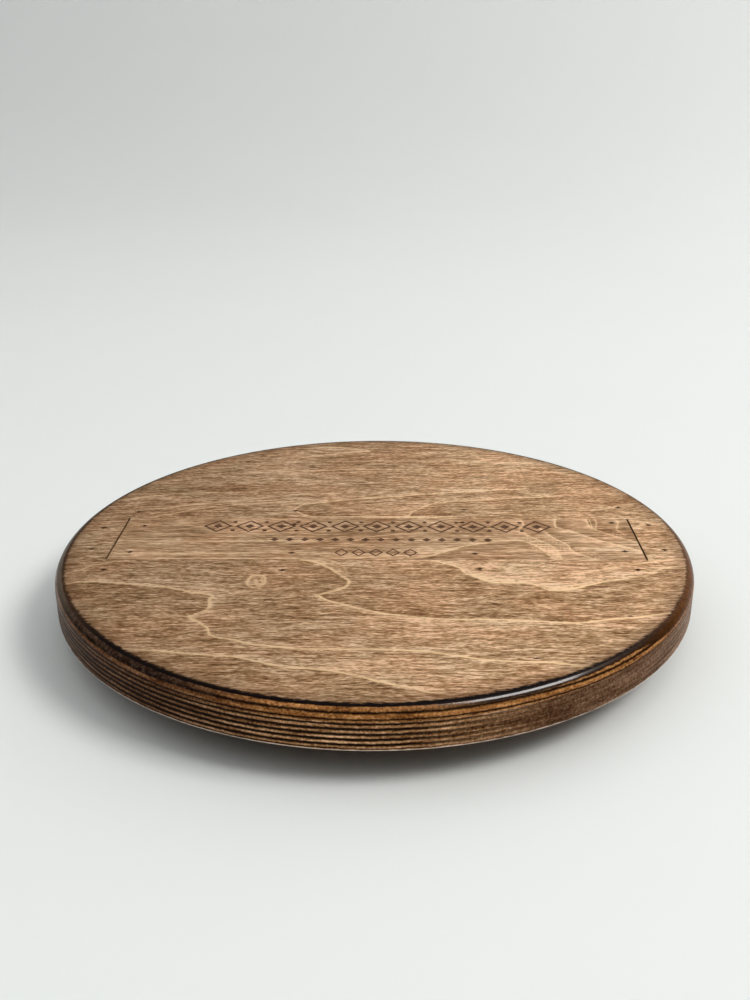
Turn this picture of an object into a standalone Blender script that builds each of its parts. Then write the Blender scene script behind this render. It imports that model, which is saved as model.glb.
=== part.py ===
"""Turntable display stand.

A stained plywood disc carries a wooden face panel with an inlaid strip, held by small nails.
It turns on a pressed-steel ball bearing over a smaller wooden base with four rubber feet.
Units are metres and +Z is up. The origin is on the table, on the axis that the disc turns about.
"""

import math

import bmesh
import bpy
from mathutils import Matrix, Vector

MM = 0.001
GAP = 0.3 * MM  # between pieces that touch on the real object
WELD = 0.001 * MM

# Driving dimensions
DISC_RADIUS = 203.2 * MM  # a 16-inch disc
DISC_THICKNESS = 22.7 * MM  # face panel, glue line and board together
FACE_THICKNESS = 6.9 * MM
DISC_ROUNDOVER = 6.3 * MM
DISC_LOWER_ROUND = 1.2 * MM
STRIP_LENGTH = 340.0 * MM
STRIP_WIDTH = 66.0 * MM
STRIP_CENTRE = Vector((1.4 * MM, 1.2 * MM, 0.0))
STRIP_YAW = math.radians(-1.3)
BEARING_SIDE = 152.4 * MM  # a 6-inch square bearing
BEARING_HEIGHT = 7.9 * MM
BASE_RADIUS = 127.0 * MM
BASE_THICKNESS = 9.0 * MM
BASE_ROUND = 1.6 * MM
FOOT_RADIUS = 9.5 * MM
FOOT_HEIGHT = 3.0 * MM
FOOT_ROUND = 1.0 * MM
FOOT_TAPER = 0.5 * MM

# Heights, from the table up
BASE_BOTTOM = FOOT_HEIGHT + GAP
BASE_TOP = BASE_BOTTOM + BASE_THICKNESS
BEARING_BOTTOM = BASE_TOP + GAP
BEARING_TOP = BEARING_BOTTOM + BEARING_HEIGHT
DISC_BOTTOM = BEARING_TOP + GAP
DISC_TOP = DISC_BOTTOM + DISC_THICKNESS
FACE_BOTTOM = DISC_TOP - FACE_THICKNESS
BOARD_TOP = FACE_BOTTOM - GAP

# Nails: the head is set a little below the surface, in a hole just wider than the head
NAIL_HEAD_RADIUS = 1.4 * MM
NAIL_HEAD_HEIGHT = 0.8 * MM
NAIL_SHANK_RADIUS = 0.75 * MM
NAIL_LENGTH = 15.5 * MM
NAIL_TIP = 1.5 * MM
NAIL_SET = 0.4 * MM
NAIL_SEAT = NAIL_SET + NAIL_HEAD_HEIGHT + GAP  # depth of the wider part of the hole
NAIL_ROWS_MM = {
    "rear_face": ((-165, 49), (-55, 49), (63, 49), (171, 51)),
    "strip_rear": ((-156, 24), (-54, 25), (60, 26), (161, 24)),
    "strip_front": ((-157, -18), (-53, -21), (64, -24), (160, -22)),
    "front_face": ((-168, -44), (-57, -46), (65, -46), (162, -49)),
    "left_end": ((-183, 21), (-183, -13)),
    "right_end": ((185, 20), (186, -20)),
}

# Bearing: a flange for the screws round a pressed ball race
FLANGE_THICKNESS = 1.2 * MM
SHEET_THICKNESS = 1.0 * MM
FLANGE_HOLE = 60.0 * MM
FLANGE_CORNER = 10.0 * MM
BALL_RADIUS = 2.0 * MM
BALL_CIRCLE = 54.0 * MM
BALL_COUNT = 12
CAGE_INNER = 51.4 * MM
CAGE_OUTER = 56.6 * MM
CAGE_THICKNESS = 0.8 * MM

# Screws that hold the bearing's two plates to the wood
SCREW_OFFSET = 66.0 * MM  # from the axis, along X and along Y
SCREW_HEAD_RADIUS = 3.5 * MM
SCREW_HEAD_HEIGHT = 2.0 * MM
SCREW_HEAD_FLAT = 0.55 * SCREW_HEAD_RADIUS
SCREW_HEAD_SHOULDER = (0.87 * SCREW_HEAD_RADIUS, 0.8 * SCREW_HEAD_HEIGHT)
SCREW_HEAD_RIM = 0.35 * SCREW_HEAD_HEIGHT
SCREW_SHANK_RADIUS = 1.7 * MM
SCREW_LENGTH = 8.3 * MM  # below the head
SCREW_TIP = 2.0 * MM
SCREW_RECESS_DEPTH = 1.1 * MM
SCREW_RECESS_WIDTH = 0.8 * MM
SCREW_RECESS_SPAN = 3.8 * MM
SCREW_HOLE_RADIUS = 2.2 * MM  # through the flange
PILOT_RADIUS = SCREW_SHANK_RADIUS + GAP
PILOT_DEPTH = 8.0 * MM
ACCESS_RADIUS = 9.5 * MM  # lets a driver reach the upper plate's screws from below
ACCESS_DISTANCE = SCREW_OFFSET * math.sqrt(2)

FOOT_OFFSET = 75.0 * MM  # from the axis, along X and along Y

# Straight steps in a full turn
DISC_STEPS = 96
BASE_STEPS = 64
RACE_STEPS = 40
SMALL_STEPS = 10
NAIL_STEPS = 8
POCKET_STEPS = 12
ACCESS_STEPS = 24
FOOT_STEPS = 20
BALL_SEGMENTS = 10
BALL_RINGS = 7

# Straight steps in a quarter turn
EDGE_STEPS = 3
ROUNDOVER_STEPS = 5
CORNER_STEPS = 4

SHARP_ANGLE = math.radians(35)


def clear_scene():
    for old in list(bpy.data.objects):
        bpy.data.objects.remove(old, do_unlink=True)


def new_collection(name):
    group = bpy.data.collections.new(name)
    bpy.context.scene.collection.children.link(group)
    return group


def new_material(name, colour, roughness, metallic=0.0):
    made = bpy.data.materials.new(name)
    made.use_nodes = True
    made.diffuse_color = (*colour, 1.0)
    shader = made.node_tree.nodes["Principled BSDF"]
    shader.inputs["Base Color"].default_value = (*colour, 1.0)
    shader.inputs["Roughness"].default_value = roughness
    shader.inputs["Metallic"].default_value = metallic
    return made


def new_axis(name):
    """An empty on the turning axis, which carries one moving body's pieces."""
    axis = bpy.data.objects.new(name, None)
    axis.empty_display_size = 0.05
    PARTS.objects.link(axis)
    return axis


def add_piece(name, mesh, material, axis):
    piece = bpy.data.objects.new(name, mesh)
    mesh.materials.append(material)
    PARTS.objects.link(piece)
    piece.parent = axis
    return piece


def mesh_from(name, build):
    """A mesh filled by build(bm), where bm is an empty bmesh."""
    mesh = bpy.data.meshes.new(name)
    bm = bmesh.new()
    build(bm)
    bm.to_mesh(mesh)
    bm.free()
    return mesh


def profile_mesh(name, profile, closed=False):
    """The half outline of a turned shape, from (radius, height) points."""

    def build(bm):
        points = [bm.verts.new((radius, 0.0, height)) for radius, height in profile]
        for first, second in zip(points, points[1:]):
            bm.edges.new((first, second))
        if closed:
            bm.edges.new((points[-1], points[0]))

    return mesh_from(name, build)


def turn(piece, steps):
    """Turns a half outline about Z. The outline runs down its outer side."""
    screw = piece.modifiers.new("turn", "SCREW")
    screw.steps = steps
    screw.render_steps = steps
    screw.use_merge_vertices = True
    screw.merge_threshold = WELD


def arc(radius, height, bend, start, end, count):
    """Points on an arc of radius bend about (radius, height), its angles in degrees from outwards."""
    angles = [math.radians(start + (end - start) * i / count) for i in range(count + 1)]
    return [(radius + bend * math.cos(a), height + bend * math.sin(a)) for a in angles]


def add_box(bm, size, centre, yaw=0.0):
    place = Matrix.Translation(centre) @ Matrix.Rotation(yaw, 4, "Z") @ Matrix.Diagonal((*size, 1.0))
    bmesh.ops.create_cube(bm, size=1.0, matrix=place)


def add_cylinder(bm, radius, low, high, x, y, steps=SMALL_STEPS):
    place = Matrix.Translation((x, y, (low + high) / 2))
    bmesh.ops.create_cone(
        bm,
        cap_ends=True,
        segments=steps,
        radius1=radius,
        radius2=radius,
        depth=high - low,
        matrix=place,
    )


def cut(piece, name, build):
    """Cuts away what build(bm) makes, in the piece's own space."""
    cutter = bpy.data.objects.new(name, mesh_from(name, build))
    cutter.hide_render = True
    cutter.display_type = "WIRE"
    cutter.matrix_world = piece.matrix_world
    CUTTERS.objects.link(cutter)
    boolean = piece.modifiers.new(name, "BOOLEAN")
    boolean.operation = "DIFFERENCE"
    boolean.solver = "EXACT"
    boolean.object = cutter


def settle(piece):
    """Makes the modifiers' result the piece's own mesh, shaded smooth with its corners kept sharp."""
    bpy.context.view_layer.update()
    evaluated = piece.evaluated_get(bpy.context.evaluated_depsgraph_get())
    mesh = bpy.data.meshes.new_from_object(evaluated)
    mesh.name = piece.name
    piece.modifiers.clear()
    piece.data = mesh
    mesh.shade_smooth()
    mesh.set_sharp_from_angle(angle=SHARP_ANGLE)


def square_corners(offset):
    return [(offset * sx, offset * sy) for sx, sy in ((1, 1), (-1, 1), (-1, -1), (1, -1))]


def nail_places():
    """Each nail's number, row and place on the disc."""
    places = [(row, x * MM, y * MM) for row, points in NAIL_ROWS_MM.items() for x, y in points]
    return [(number, *place) for number, place in enumerate(places, start=1)]


def cut_nail_seats(piece, name, rows):
    """A seat for each nail's head and a hole for its shank, right through the piece."""

    def seats(bm):
        for _, row, x, y in nail_places():
            if row in rows:
                seat = NAIL_HEAD_RADIUS + GAP
                add_cylinder(bm, seat, DISC_TOP - NAIL_SEAT, DISC_TOP + MM, x, y)

    def holes(bm):
        for _, row, x, y in nail_places():
            if row in rows:
                hole = NAIL_SHANK_RADIUS + GAP
                add_cylinder(bm, hole, FACE_BOTTOM - MM, DISC_TOP - NAIL_SEAT + GAP, x, y)

    cut(piece, f"{name}_nail_seats", seats)
    cut(piece, f"{name}_nail_holes", holes)


def make_board(axis):
    """The plywood disc under the face panel, with blind holes for nails above and screws below."""
    outline = [
        (0.0, BOARD_TOP),
        (DISC_RADIUS, BOARD_TOP),
        *arc(
            DISC_RADIUS - DISC_LOWER_ROUND,
            DISC_BOTTOM + DISC_LOWER_ROUND,
            DISC_LOWER_ROUND,
            0,
            -90,
            EDGE_STEPS,
        ),
        (0.0, DISC_BOTTOM),
    ]
    board = add_piece("turntable_board", profile_mesh("turntable_board", outline), PLYWOOD, axis)
    turn(board, DISC_STEPS)
    nail_bottom = DISC_TOP - NAIL_SET - NAIL_LENGTH - GAP

    def pilot_holes(bm):
        for _, _, x, y in nail_places():
            hole = NAIL_SHANK_RADIUS + GAP
            add_cylinder(bm, hole, nail_bottom, BOARD_TOP + MM, x, y)
        for x, y in square_corners(SCREW_OFFSET):
            add_cylinder(bm, PILOT_RADIUS, DISC_BOTTOM - MM, DISC_BOTTOM + PILOT_DEPTH, x, y)

    cut(board, "board_pilot_holes", pilot_holes)
    settle(board)


def make_face_panel(axis):
    """The top panel with the rounded rim, cut out for the strip."""
    outline = [
        (0.0, DISC_TOP),
        *arc(
            DISC_RADIUS - DISC_ROUNDOVER,
            DISC_TOP - DISC_ROUNDOVER,
            DISC_ROUNDOVER,
            90,
            0,
            ROUNDOVER_STEPS,
        ),
        (DISC_RADIUS, FACE_BOTTOM),
        (0.0, FACE_BOTTOM),
    ]
    face = add_piece("face_panel", profile_mesh("face_panel", outline), FACE_WOOD, axis)
    turn(face, DISC_STEPS)
    middle = (DISC_TOP + FACE_BOTTOM) / 2

    def strip_opening(bm):
        size = (STRIP_LENGTH + 2 * GAP, STRIP_WIDTH + 2 * GAP, FACE_THICKNESS * 2)
        add_box(bm, size, STRIP_CENTRE + Vector((0, 0, middle)), STRIP_YAW)

    cut(face, "strip_opening", strip_opening)
    cut_nail_seats(face, "face", ("rear_face", "front_face", "left_end", "right_end"))
    settle(face)


def make_inlay_strip(axis):
    """The strip that fills the face panel's opening, flush with it."""
    middle = (DISC_TOP + FACE_BOTTOM) / 2

    def strip(bm):
        size = (STRIP_LENGTH, STRIP_WIDTH, FACE_THICKNESS)
        add_box(bm, size, STRIP_CENTRE + Vector((0, 0, middle)), STRIP_YAW)

    inlay = add_piece("inlay_strip", mesh_from("inlay_strip", strip), STRIP_WOOD, axis)
    cut_nail_seats(inlay, "strip", ("strip_rear", "strip_front"))
    settle(inlay)


def make_nails(axis):
    """Small nails with round heads, set just below the surface."""
    outline = [
        (0.0, 0.0),
        (NAIL_HEAD_RADIUS, 0.0),
        (NAIL_HEAD_RADIUS, -NAIL_HEAD_HEIGHT),
        (NAIL_SHANK_RADIUS, -NAIL_HEAD_HEIGHT),
        (NAIL_SHANK_RADIUS, NAIL_TIP - NAIL_LENGTH),
        (0.0, -NAIL_LENGTH),
    ]
    for number, _, x, y in nail_places():
        name = f"nail_{number:02d}"
        nail = add_piece(name, profile_mesh(name, outline), NAIL_STEEL, axis)
        nail.location = (x, y, DISC_TOP - NAIL_SET)
        turn(nail, NAIL_STEPS)
        settle(nail)


def flange_mesh(name, height):
    """A flat square sheet with round corners and a hole for the race."""
    outline = bpy.data.curves.new(name, "CURVE")
    outline.dimensions = "2D"
    outline.fill_mode = "BOTH"
    outline.extrude = FLANGE_THICKNESS / 2

    def add_loop(points):
        spline = outline.splines.new("POLY")
        spline.points.add(len(points) - 1)
        for point, (x, y) in zip(spline.points, points):
            point.co = (x, y, 0.0, 1.0)
        spline.use_cyclic_u = True

    inset = BEARING_SIDE / 2 - FLANGE_CORNER
    corners = square_corners(inset)
    rounded = []
    for number, (x, y) in enumerate(corners):
        start = 90 * number
        rounded += arc(x, y, FLANGE_CORNER, start, start + 90, CORNER_STEPS)
    add_loop(rounded)
    add_loop(arc(0.0, 0.0, FLANGE_HOLE, 0, 360 - 360 / RACE_STEPS, RACE_STEPS - 1))
    holder = bpy.data.objects.new(name, outline)
    PARTS.objects.link(holder)
    holder.location.z = height
    bpy.context.view_layer.update()
    evaluated = holder.evaluated_get(bpy.context.evaluated_depsgraph_get())
    mesh = bpy.data.meshes.new_from_object(evaluated)
    mesh.transform(holder.matrix_world)
    bpy.data.objects.remove(holder, do_unlink=True)
    bm = bmesh.new()
    bm.from_mesh(mesh)
    bmesh.ops.remove_doubles(bm, verts=bm.verts, dist=WELD)
    bm.to_mesh(mesh)
    bm.free()
    return mesh


def make_plate(name, flange_height, race, axis):
    """A pressed plate: the flat flange joined to a turned sheet that follows race, outside to inside."""
    mesh = flange_mesh(name, flange_height)
    plate = add_piece(name, mesh, ZINC_STEEL, axis)
    sheet_mesh = profile_mesh(f"{name}_race", race)
    sheet = bpy.data.objects.new(f"{name}_race", sheet_mesh)
    CUTTERS.objects.link(sheet)
    sheet.hide_render = True
    sheet.display_type = "WIRE"
    turn(sheet, RACE_STEPS)
    solidify = sheet.modifiers.new("thickness", "SOLIDIFY")
    solidify.thickness = SHEET_THICKNESS
    solidify.offset = 0.0
    solidify.use_even_offset = True
    join = plate.modifiers.new("race", "BOOLEAN")
    join.operation = "UNION"
    join.solver = "EXACT"
    join.object = sheet

    def screw_holes(bm):
        for x, y in square_corners(SCREW_OFFSET):
            low = flange_height - FLANGE_THICKNESS
            high = flange_height + FLANGE_THICKNESS
            add_cylinder(bm, SCREW_HOLE_RADIUS, low, high, x, y)

    cut(plate, f"{name}_screw_holes", screw_holes)
    settle(plate)


def race_outline(points_mm):
    """Points from radii and from heights above the bearing's underside."""
    return [(radius * MM, BEARING_BOTTOM + height * MM) for radius, height in points_mm]


def make_lower_plate(axis):
    """Its inner edge stands up and curls outwards over the upper plate's inner edge."""
    shoulder, track = 1.5, 1.15
    outline = race_outline(
        (
            (62.0, 0.6),
            (59.2, shoulder),
            (57.2, shoulder),
            (56.2, track),
            (51.8, track),
            (50.8, shoulder),
            (47.0, shoulder),
            (45.7, 2.5),
            (45.7, 5.6),
            (46.6, 6.6),
            (49.2, 6.6),
        )
    )
    make_plate("bearing_lower_plate", BEARING_BOTTOM + FLANGE_THICKNESS / 2, outline, axis)


def make_upper_plate(axis):
    """Its inner edge drops below the lower plate's curl, which keeps the two plates together."""
    shoulder, track, lip = 6.4, 6.75, 4.6
    outline = race_outline(
        (
            (62.0, 7.3),
            (59.2, shoulder),
            (57.2, shoulder),
            (56.2, track),
            (51.9, track),
            (50.8, 5.9),
            (49.8, lip),
            (46.9, lip),
        )
    )
    make_plate("bearing_upper_plate", BEARING_TOP - FLANGE_THICKNESS / 2, outline, axis)


def make_ball_ring(axis):
    """Steel balls evenly spaced by a flat cage, all between the two races."""
    middle = BEARING_BOTTOM + BEARING_HEIGHT / 2
    low, high = middle - CAGE_THICKNESS / 2, middle + CAGE_THICKNESS / 2
    outline = [(CAGE_OUTER, high), (CAGE_OUTER, low), (CAGE_INNER, low), (CAGE_INNER, high)]
    cage = add_piece("ball_cage", profile_mesh("ball_cage", outline, closed=True), CAGE_PLASTIC, axis)
    turn(cage, RACE_STEPS)
    places = []
    for number in range(BALL_COUNT):
        angle = math.tau * (number + 0.5) / BALL_COUNT
        places.append((BALL_CIRCLE * math.cos(angle), BALL_CIRCLE * math.sin(angle)))

    def pockets(bm):
        for x, y in places:
            add_cylinder(bm, BALL_RADIUS + GAP, low - MM, high + MM, x, y, POCKET_STEPS)

    cut(cage, "cage_pockets", pockets)
    settle(cage)

    def ball_shape(bm):
        bmesh.ops.create_uvsphere(
            bm,
            u_segments=BALL_SEGMENTS,
            v_segments=BALL_RINGS,
            radius=BALL_RADIUS,
        )

    for number, (x, y) in enumerate(places, start=1):
        name = f"ball_{number:02d}"
        ball = add_piece(name, mesh_from(name, ball_shape), BALL_STEEL, axis)
        ball.location = (x, y, middle)
        ball.data.shade_smooth()


def make_screws(prefix, under_head, up, axis):
    """Pan-head screws at the plate's corners. They point up into the disc, or down into the base."""
    outline = [
        (0.0, SCREW_HEAD_HEIGHT),
        (SCREW_HEAD_FLAT, SCREW_HEAD_HEIGHT),
        SCREW_HEAD_SHOULDER,
        (SCREW_HEAD_RADIUS, SCREW_HEAD_RIM),
        (SCREW_HEAD_RADIUS, 0.0),
        (SCREW_SHANK_RADIUS, 0.0),
        (SCREW_SHANK_RADIUS, SCREW_TIP - SCREW_LENGTH),
        (0.0, -SCREW_LENGTH),
    ]
    slot_size = (SCREW_RECESS_SPAN, SCREW_RECESS_WIDTH, 2 * SCREW_RECESS_DEPTH)
    slot_centre = Vector((0, 0, SCREW_HEAD_HEIGHT))
    for number, (x, y) in enumerate(square_corners(SCREW_OFFSET), start=1):
        name = f"{prefix}_{number}"
        screw = add_piece(name, profile_mesh(name, outline), ZINC_STEEL, axis)
        turn(screw, SMALL_STEPS)
        cut(screw, f"{name}_slot", lambda bm: add_box(bm, slot_size, slot_centre))
        cut(screw, f"{name}_slot_across", lambda bm: add_box(bm, slot_size, slot_centre, math.pi / 2))
        settle(screw)
        screw.location = (x, y, under_head)
        if up:
            screw.rotation_euler.x = math.pi


def make_base(axis):
    """The smaller disc that stays still, with pilot holes and a hole for a screwdriver."""
    inner = BASE_RADIUS - BASE_ROUND
    outline = [
        (0.0, BASE_TOP),
        *arc(inner, BASE_TOP - BASE_ROUND, BASE_ROUND, 90, 0, EDGE_STEPS),
        *arc(inner, BASE_BOTTOM + BASE_ROUND, BASE_ROUND, 0, -90, EDGE_STEPS),
        (0.0, BASE_BOTTOM),
    ]
    base = add_piece("base_board", profile_mesh("base_board", outline), PLYWOOD, axis)
    turn(base, BASE_STEPS)

    def holes(bm):
        for x, y in square_corners(SCREW_OFFSET):
            add_cylinder(bm, PILOT_RADIUS, BASE_TOP - PILOT_DEPTH, BASE_TOP + MM, x, y)
        low, high = BASE_BOTTOM - MM, BASE_TOP + MM
        add_cylinder(bm, ACCESS_RADIUS, low, high, 0.0, ACCESS_DISTANCE, ACCESS_STEPS)

    cut(base, "base_holes", holes)
    settle(base)


def make_feet(axis):
    """Stick-on rubber feet, flat where they stand."""
    inner = FOOT_RADIUS - FOOT_TAPER - FOOT_ROUND
    outline = [
        (0.0, FOOT_HEIGHT),
        (FOOT_RADIUS, FOOT_HEIGHT),
        *arc(inner, FOOT_ROUND, FOOT_ROUND, 0, -90, EDGE_STEPS),
        (0.0, 0.0),
    ]
    for number, (x, y) in enumerate(square_corners(FOOT_OFFSET), start=1):
        name = f"rubber_foot_{number}"
        foot = add_piece(name, profile_mesh(name, outline), RUBBER, axis)
        foot.location = (x, y, 0.0)
        turn(foot, FOOT_STEPS)
        settle(foot)


clear_scene()
PARTS = new_collection("turntable_display_stand")
CUTTERS = new_collection("cutters")
PLYWOOD = new_material("stained_plywood", (0.22, 0.11, 0.05), 0.45)
FACE_WOOD = new_material("face_wood", (0.42, 0.25, 0.14), 0.4)
STRIP_WOOD = new_material("strip_wood", (0.46, 0.28, 0.16), 0.4)
NAIL_STEEL = new_material("nail_steel", (0.06, 0.04, 0.03), 0.5, 0.8)
ZINC_STEEL = new_material("zinc_steel", (0.55, 0.56, 0.57), 0.35, 1.0)
BALL_STEEL = new_material("ball_steel", (0.7, 0.7, 0.7), 0.12, 1.0)
CAGE_PLASTIC = new_material("cage_plastic", (0.75, 0.74, 0.7), 0.5)
RUBBER = new_material("rubber", (0.03, 0.03, 0.03), 0.8)

base_axis = new_axis("base_axis")
ball_axis = new_axis("ball_ring_axis")
turntable_axis = new_axis("turntable_axis")

make_board(turntable_axis)
make_face_panel(turntable_axis)
make_inlay_strip(turntable_axis)
make_nails(turntable_axis)
make_upper_plate(turntable_axis)
make_screws("upper_screw", BEARING_TOP - FLANGE_THICKNESS - GAP, True, turntable_axis)
make_ball_ring(ball_axis)
make_lower_plate(base_axis)
make_screws("lower_screw", BEARING_BOTTOM + FLANGE_THICKNESS + GAP, False, base_axis)
make_base(base_axis)
make_feet(base_axis)
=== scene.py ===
"""Looks of the turntable display stand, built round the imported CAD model.

Units are metres and +Z is up. The disc turns about the Z axis, and the strip's long side lies along X.
"""

import math

import bmesh
import bpy
import numpy as np
from mathutils import Matrix, Vector


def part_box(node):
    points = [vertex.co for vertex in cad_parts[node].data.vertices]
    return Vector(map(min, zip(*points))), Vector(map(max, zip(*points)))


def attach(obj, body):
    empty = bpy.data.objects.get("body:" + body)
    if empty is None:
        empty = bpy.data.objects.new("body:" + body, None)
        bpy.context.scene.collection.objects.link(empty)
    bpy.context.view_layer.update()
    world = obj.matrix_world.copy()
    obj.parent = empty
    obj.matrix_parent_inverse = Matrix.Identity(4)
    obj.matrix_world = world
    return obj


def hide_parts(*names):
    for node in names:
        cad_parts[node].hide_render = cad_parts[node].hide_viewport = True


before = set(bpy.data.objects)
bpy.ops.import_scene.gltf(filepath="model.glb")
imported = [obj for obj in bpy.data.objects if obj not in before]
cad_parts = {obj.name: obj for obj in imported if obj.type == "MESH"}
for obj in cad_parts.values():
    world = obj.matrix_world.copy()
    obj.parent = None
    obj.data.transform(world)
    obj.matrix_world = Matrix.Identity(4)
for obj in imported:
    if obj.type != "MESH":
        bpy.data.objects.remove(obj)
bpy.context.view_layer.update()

MM = 0.001
# Millimetres in a metre
PER_METRE = 1000.0
FACE_LOW, FACE_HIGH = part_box("face_panel")
BOARD_LOW, BOARD_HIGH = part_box("turntable_board")
STRIP_LOW, STRIP_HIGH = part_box("inlay_strip")
BASE_LOW, BASE_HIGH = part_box("base_board")
RADIUS = FACE_HIGH.x
TOP = FACE_HIGH.z
BOTTOM = BOARD_LOW.z
# The board's top and the panel's underside, a hair above it
SEAM_LOW, SEAM_HIGH = BOARD_HIGH.z, FACE_LOW.z

# Segments round each kind of turned shape
DISC_STEPS = 360
BASE_STEPS = 256
FOOT_STEPS = 72
ACCESS_STEPS = 64
BALL_STEPS = 40
NAIL_STEPS = 28
HOLE_STEPS = 20
DOT_STEPS = 20

# Spacing of the vertices on the face panel and the strip, which hold the wood's figure
GRID = 2.0 * MM
ROUNDOVER = 6.4 * MM
LOWER_ROUND = 0.6 * MM
STRIP_YAW = math.radians(-1.3)
STRIP_LENGTH = 340.0 * MM
STRIP_WIDTH = 66.0 * MM
STRIP_CENTRE = (STRIP_LOW + STRIP_HIGH) / 2
STRIP_TURN = Matrix.Rotation(STRIP_YAW, 4, "Z")
END_SEAM = 1.3 * MM
SIDE_SEAM = 0.12 * MM
NAIL_HOLE = 1.55 * MM
NAIL_HOLE_DEPTH = 2 * MM
# Where the face panel's flat top ends, in mm from the axis
RIM_MM = (RADIUS - ROUNDOVER) * PER_METRE

# Dark plies on the disc's edge: the depth of each one's middle below the top, and its thickness, in mm
PLIES_MM = (
    (1.9, 1.1),
    (4.8, 1.0),
    (7.2, 1.5),
    (10.2, 1.8),
    (13.2, 1.8),
    (16.1, 1.8),
    (19.1, 1.7),
    (21.4, 0.8),
)
PLY_RELIEF = 0.12 * MM
# Half width of a groove in the edge, as a share of its dark ply's thickness
GROOVE_SPREAD = 0.55
PROFILE_STEP = 0.22 * MM
# Depth below which the edge's lower corner is painted pale: a painted reflection of the floor
PALE_CORNER_MM = 22.0
# The base's dark plies: four, evenly spaced
BASE_PLIES_MM = tuple((1.4 + 2.1 * i, 0.6) for i in range(4))
# The hole in the base through which a driver reaches the screws of the upper plate
ACCESS_RADIUS = 9.5 * MM
SCREW_OFFSET = 66.0 * MM
ACCESS_DISTANCE = math.hypot(SCREW_OFFSET, SCREW_OFFSET)

# Burnt marks reach from just under the wood's surface to just above it
MARK_LOW = -0.05 * MM
MARK_HIGH = 0.03 * MM

# A face whose normal's Z is over this counts as flat
FLAT = 0.95
SHARP_ANGLE = math.radians(40)
TINY = 1e-6


# ---------------------------------------------------------------- meshes


def new_piece(name, mesh, *materials):
    piece = bpy.data.objects.new(name, mesh)
    bpy.context.scene.collection.objects.link(piece)
    for material in materials:
        mesh.materials.append(material)
    return piece


def mesh_from(name, build):
    mesh = bpy.data.meshes.new(name)
    bm = bmesh.new()
    build(bm)
    bm.to_mesh(mesh)
    bm.free()
    return mesh


def circle(x, y, radius, steps):
    angles = [math.tau * i / steps for i in range(steps)]
    return [(x + radius * math.cos(a), y + radius * math.sin(a)) for a in angles]


def turned(name, profile, steps):
    """A profile of (radius, height) points turned about Z. It runs down the outer side, top to bottom."""

    def build(bm):
        rings = []
        for radius, height in profile:
            if radius < TINY:
                rings.append([bm.verts.new((0.0, 0.0, height))] * steps)
                continue
            rings.append([bm.verts.new((x, y, height)) for x, y in circle(0.0, 0.0, radius, steps)])
        for upper, lower in zip(rings, rings[1:]):
            for i in range(steps):
                j = (i + 1) % steps
                corners = list(dict.fromkeys((upper[i], lower[i], lower[j], upper[j])))
                if len(corners) > 2:
                    bm.faces.new(corners)

    return mesh_from(name, build)


def turned_piece(node_name, profile, steps, *materials):
    """The finer stand-in for a round CAD node."""
    name = f"{node_name}_fine"
    return new_piece(name, turned(name, profile, steps), *materials)


def arc(radius, height, bend, start, end, count):
    """Points on an arc of radius bend about (radius, height), its angles in degrees from outwards."""
    angles = [math.radians(start + (end - start) * i / count) for i in range(count + 1)]
    return [(radius + bend * math.cos(a), height + bend * math.sin(a)) for a in angles]


def spread(start, end, step):
    """Values from start to end, about step apart, without the end itself."""
    count = max(1, round(abs(end - start) / step))
    return [start + (end - start) * i / count for i in range(count)]


def add_cylinder(bm, radius, low, high, x, y, steps):
    where = Matrix.Translation((x, y, (low + high) / 2))
    bmesh.ops.create_cone(
        bm,
        cap_ends=True,
        segments=steps,
        radius1=radius,
        radius2=radius,
        depth=high - low,
        matrix=where,
    )


def cut(piece, build):
    """Cuts away what build(bm) makes and keeps the result as the piece's mesh."""
    cutter = bpy.data.objects.new("cutter", mesh_from("cutter", build))
    bpy.context.scene.collection.objects.link(cutter)
    boolean = piece.modifiers.new("cut", "BOOLEAN")
    boolean.operation = "DIFFERENCE"
    boolean.solver = "EXACT"
    boolean.object = cutter
    bpy.context.view_layer.update()
    mesh = bpy.data.meshes.new_from_object(piece.evaluated_get(bpy.context.evaluated_depsgraph_get()))
    piece.modifiers.clear()
    piece.data = mesh
    bpy.data.objects.remove(cutter, do_unlink=True)


def smooth(piece):
    piece.data.shade_smooth()
    piece.data.set_sharp_from_angle(angle=SHARP_ANGLE)


def veneer_flats(piece):
    """Gives the flat top and underside the piece's second material."""
    for face in piece.data.polygons:
        if abs(face.normal.z) > FLAT:
            face.material_index = 1


def finish_piece(piece, body, slot, *nodes):
    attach(piece, body)
    if nodes:
        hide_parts(*nodes)
    return piece


# ---------------------------------------------------------------- shader helpers


def node(tree, kind, values=None, **settings):
    """A new shader node. values are what its sockets are set or linked to, and settings are its own."""
    made = tree.nodes.new("ShaderNode" + kind)
    for key, value in settings.items():
        setattr(made, key, value)
    for key, value in (values or {}).items():
        if isinstance(value, bpy.types.NodeSocket):
            tree.links.new(value, made.inputs[key])
        else:
            made.inputs[key].default_value = value
    return made


def maths(tree, operation, *values, clamp=False):
    return node(tree, "Math", dict(enumerate(values)), operation=operation, use_clamp=clamp).outputs[0]


def remap(tree, value, low, high, to_low=0.0, to_high=1.0):
    """A smooth step of value from low..high to to_low..to_high."""
    values = {"Value": value, "From Min": low, "From Max": high, "To Min": to_low, "To Max": to_high}
    return node(tree, "MapRange", values, interpolation_type="SMOOTHSTEP").outputs["Result"]


def blend(tree, factor, first, second, mode="MIX"):
    made = node(tree, "Mix", data_type="RGBA", blend_type=mode)
    for index, value in ((0, factor), (6, first), (7, second)):
        if isinstance(value, bpy.types.NodeSocket):
            tree.links.new(value, made.inputs[index])
        elif index == 0:
            made.inputs[index].default_value = value
        else:
            made.inputs[index].default_value = (*value, 1.0)
    return made.outputs[2]


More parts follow.
